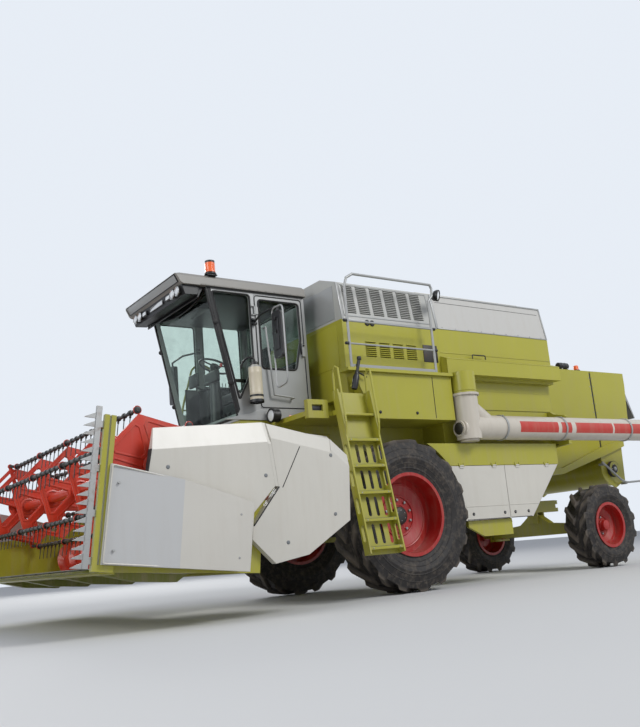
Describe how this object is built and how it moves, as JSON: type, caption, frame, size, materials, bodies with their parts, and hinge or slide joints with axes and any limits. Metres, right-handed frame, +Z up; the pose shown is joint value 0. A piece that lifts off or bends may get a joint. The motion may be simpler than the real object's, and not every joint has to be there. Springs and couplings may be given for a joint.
{
  "type": "combine harvester",
  "caption": "Self-propelled combine harvester with a raised grain header, controlled-tine reel, glazed cab, lidded grain tank, swinging unloading auger, straw hood and rear-wheel steering.",
  "frame": {"origin": "centre of the ground footprint of the whole machine with its header, on the ground", "axes": "+X forward in the direction of travel, +Y to the machine's left, +Z up"},
  "size_m": [10.3824, 4.76, 4.15],
  "materials": {
    "green_paint": "gloss",
    "white_paint": "satin",
    "grey_paint": "satin",
    "red_paint": "gloss",
    "cream_paint": "satin",
    "dark_metal": "matte",
    "bare_steel": "brushed",
    "tyre_rubber": "matte",
    "black_plastic": "matte",
    "seat_fabric": "woven",
    "tinted_glass": "clear"
  },
  "bodies": {
    "chassis": {"chassis_frame": "green_paint", "front_axle": "green_paint", "rear_axle": "green_paint", "threshing_body": "green_paint", "side_bands": "green_paint", "engine_bay": "green_paint", "engine_block": "dark_metal", "grain_tank": "green_paint", "straw_hood": "green_paint", "hood_flap": "grey_paint", "chopper": "green_paint", "cab_shell": "grey_paint", "cab_glass": "tinted_glass", "cab_roof": "grey_paint", "cab_interior": "black_plastic", "driver_seat": "seat_fabric", "lamps": "black_plastic", "mirrors": "black_plastic", "platform": "green_paint", "ladder": "green_paint", "railings": "grey_paint", "auger_turret": "green_paint"},
    "front_wheel_left": {"front_rim_left": "red_paint", "front_tyre_left": "tyre_rubber"},
    "front_wheel_right": {"front_rim_right": "red_paint", "front_tyre_right": "tyre_rubber"},
    "steering_left": {"knuckle_left": "green_paint"},
    "steering_right": {"knuckle_right": "green_paint"},
    "rear_wheel_left": {"rear_rim_left": "red_paint", "rear_tyre_left": "tyre_rubber"},
    "rear_wheel_right": {"rear_rim_right": "red_paint", "rear_tyre_right": "tyre_rubber"},
    "tie_rod": {"tie_rod": "green_paint"},
    "side_door_front_left": {"side_door_front_left": "white_paint"},
    "side_door_rear_left": {"side_door_rear_left": "white_paint"},
    "side_door_front_right": {"side_door_front_right": "white_paint"},
    "side_door_rear_right": {"side_door_rear_right": "white_paint"},
    "tank_lid_left": {"tank_lid_left": "grey_paint"},
    "tank_lid_right": {"tank_lid_right": "grey_paint"},
    "cab_door": {"cab_door": "grey_paint", "door_glass": "tinted_glass"},
    "unloading_auger": {"unloading_tube": "cream_paint"},
    "header": {"feeder_house": "green_paint", "header_table": "green_paint", "divider_panels": "white_paint", "side_knives": "bare_steel", "drive_covers": "white_paint", "cutter_bar": "bare_steel"},
    "lift_barrels": {"lift_barrels": "green_paint"},
    "lift_rods": {"lift_rods": "bare_steel"},
    "table_auger": {"table_auger": "red_paint"},
    "reel_arms": {"reel_arms": "red_paint"},
    "reel": {"reel": "red_paint"},
    "control_ring": {"control_ring": "red_paint"},
    "tine_bar_1": {"tine_bar_1": "dark_metal"},
    "tine_bar_2": {"tine_bar_2": "dark_metal"},
    "tine_bar_3": {"tine_bar_3": "dark_metal"},
    "tine_bar_4": {"tine_bar_4": "dark_metal"},
    "tine_bar_5": {"tine_bar_5": "dark_metal"},
    "tine_bar_6": {"tine_bar_6": "dark_metal"}
  },
  "joints": [
    {"name": "front_wheel_left_spin", "type": "hinge", "parent": "chassis", "child": "front_wheel_left", "pos_m": [0.71882, 1.275, 0.92], "axis": [0, 1, 0], "continuous": true},
    {"name": "steer_left", "type": "hinge", "parent": "chassis", "child": "steering_left", "pos_m": [-3.15118, 0.9, 0.6], "axis": [0, 0, 1], "range_deg": [-35, 35]},
    {"name": "rear_wheel_left_spin", "type": "hinge", "parent": "steering_left", "child": "rear_wheel_left", "pos_m": [-3.15118, 1.22, 0.6], "axis": [0, 1, 0], "continuous": true},
    {"name": "side_door_front_left_hinge", "type": "hinge", "parent": "chassis", "child": "side_door_front_left", "pos_m": [-0.58118, 1.409, 1.505], "axis": [1, 0, 0], "range_deg": [0, 80]},
    {"name": "side_door_rear_left_hinge", "type": "hinge", "parent": "chassis", "child": "side_door_rear_left", "pos_m": [-1.58118, 1.409, 1.505], "axis": [1, 0, 0], "range_deg": [0, 80]},
    {"name": "tank_lid_left_hinge", "type": "hinge", "parent": "chassis", "child": "tank_lid_left", "pos_m": [-1.34618, 0.88, 4.0323], "axis": [-1, 0, 0], "range_deg": [0, 105]},
    {"name": "front_wheel_right_spin", "type": "hinge", "parent": "chassis", "child": "front_wheel_right", "pos_m": [0.71882, -1.275, 0.92], "axis": [0, 1, 0], "continuous": true},
    {"name": "steer_right", "type": "hinge", "parent": "chassis", "child": "steering_right", "pos_m": [-3.15118, -0.9, 0.6], "axis": [0, 0, 1], "range_deg": [-35, 35]},
    {"name": "rear_wheel_right_spin", "type": "hinge", "parent": "steering_right", "child": "rear_wheel_right", "pos_m": [-3.15118, -1.22, 0.6], "axis": [0, 1, 0], "continuous": true},
    {"name": "side_door_front_right_hinge", "type": "hinge", "parent": "chassis", "child": "side_door_front_right", "pos_m": [-0.58118, -1.409, 1.505], "axis": [-1, 0, 0], "range_deg": [0, 80]},
    {"name": "side_door_rear_right_hinge", "type": "hinge", "parent": "chassis", "child": "side_door_rear_right", "pos_m": [-1.58118, -1.409, 1.505], "axis": [-1, 0, 0], "range_deg": [0, 80]},
    {"name": "tank_lid_right_hinge", "type": "hinge", "parent": "chassis", "child": "tank_lid_right", "pos_m": [-1.34618, -0.88, 4.0323], "axis": [1, 0, 0], "range_deg": [0, 105]},
    {"name": "tie_rod_pin", "type": "hinge", "parent": "steering_left", "child": "tie_rod", "pos_m": [-3.37118, 0.9, 0.542], "axis": [0, 0, 1], "range_deg": [-35, 35]},
    {"name": "cab_door_hinge", "type": "hinge", "parent": "chassis", "child": "cab_door", "pos_m": [2.31882, 0.796, 3.1], "axis": [0, 0, -1], "range_deg": [0, 75]},
    {"name": "auger_swing", "type": "hinge", "parent": "chassis", "child": "unloading_auger", "pos_m": [-0.43118, 1.465, 2.005], "axis": [0, 0, -1], "range_deg": [0, 100]},
    {"name": "header_lift", "type": "hinge", "parent": "chassis", "child": "header", "pos_m": [1.01882, 0, 1.6], "axis": [0, -1, 0], "range_deg": [-6.5, 9]},
    {"name": "lift_barrel_pivot", "type": "hinge", "parent": "chassis", "child": "lift_barrels", "pos_m": [0.96882, 0, 0.8], "axis": [0, -1, 0], "range_deg": [-8, 10]},
    {"name": "lift_rod_slide", "type": "slide", "parent": "lift_barrels", "child": "lift_rods", "axis": [0.9978, 0, -0.0665], "range_m": [-0.12, 0.16]},
    {"name": "table_auger_spin", "type": "hinge", "parent": "header", "child": "table_auger", "pos_m": [3.68321, 0, 0.74229], "axis": [0, 1, 0], "continuous": true},
    {"name": "reel_lift", "type": "hinge", "parent": "header", "child": "reel_arms", "pos_m": [3.24442, 0, 1.44404], "axis": [0, -1, 0], "range_deg": [0, 25]},
    {"name": "reel_spin", "type": "hinge", "parent": "reel_arms", "child": "reel", "pos_m": [4.29756, 0, 1.48268], "axis": [0, -1, 0], "continuous": true},
    {"name": "control_ring_spin", "type": "hinge", "parent": "reel_arms", "child": "control_ring", "pos_m": [4.37696, 0, 1.49242], "axis": [0, -1, 0], "continuous": true},
    {"name": "tine_bar_1_pin", "type": "hinge", "parent": "reel", "child": "tine_bar_1", "pos_m": [4.82399, 0, 1.62373], "axis": [0, -1, 0], "continuous": true},
    {"name": "tine_bar_2_pin", "type": "hinge", "parent": "reel", "child": "tine_bar_2", "pos_m": [4.43862, 0, 2.0091], "axis": [0, -1, 0], "continuous": true},
    {"name": "tine_bar_3_pin", "type": "hinge", "parent": "reel", "child": "tine_bar_3", "pos_m": [3.91219, 0, 1.86805], "axis": [0, -1, 0], "continuous": true},
    {"name": "tine_bar_4_pin", "type": "hinge", "parent": "reel", "child": "tine_bar_4", "pos_m": [3.77113, 0, 1.34162], "axis": [0, -1, 0], "continuous": true},
    {"name": "tine_bar_5_pin", "type": "hinge", "parent": "reel", "child": "tine_bar_5", "pos_m": [4.1565, 0, 0.95625], "axis": [0, -1, 0], "continuous": true},
    {"name": "tine_bar_6_pin", "type": "hinge", "parent": "reel", "child": "tine_bar_6", "pos_m": [4.68293, 0, 1.0973], "axis": [0, -1, 0], "continuous": true}
  ],
  "couplings": [
    {"joint": "steer_right", "follows": "steer_left", "ratio": 1},
    {"joint": "tie_rod_pin", "follows": "steer_left", "ratio": -1},
    {"joint": "lift_barrel_pivot", "follows": "header_lift", "ratio": 0.991},
    {"joint": "lift_rod_slide", "follows": "header_lift", "m_per_rad": 0.7987},
    {"joint": "control_ring_spin", "follows": "reel_spin", "ratio": 1},
    {"joint": "tine_bar_1_pin", "follows": "reel_spin", "ratio": -1},
    {"joint": "tine_bar_2_pin", "follows": "reel_spin", "ratio": -1},
    {"joint": "tine_bar_3_pin", "follows": "reel_spin", "ratio": -1},
    {"joint": "tine_bar_4_pin", "follows": "reel_spin", "ratio": -1},
    {"joint": "tine_bar_5_pin", "follows": "reel_spin", "ratio": -1},
    {"joint": "tine_bar_6_pin", "follows": "reel_spin", "ratio": -1}
  ]
}
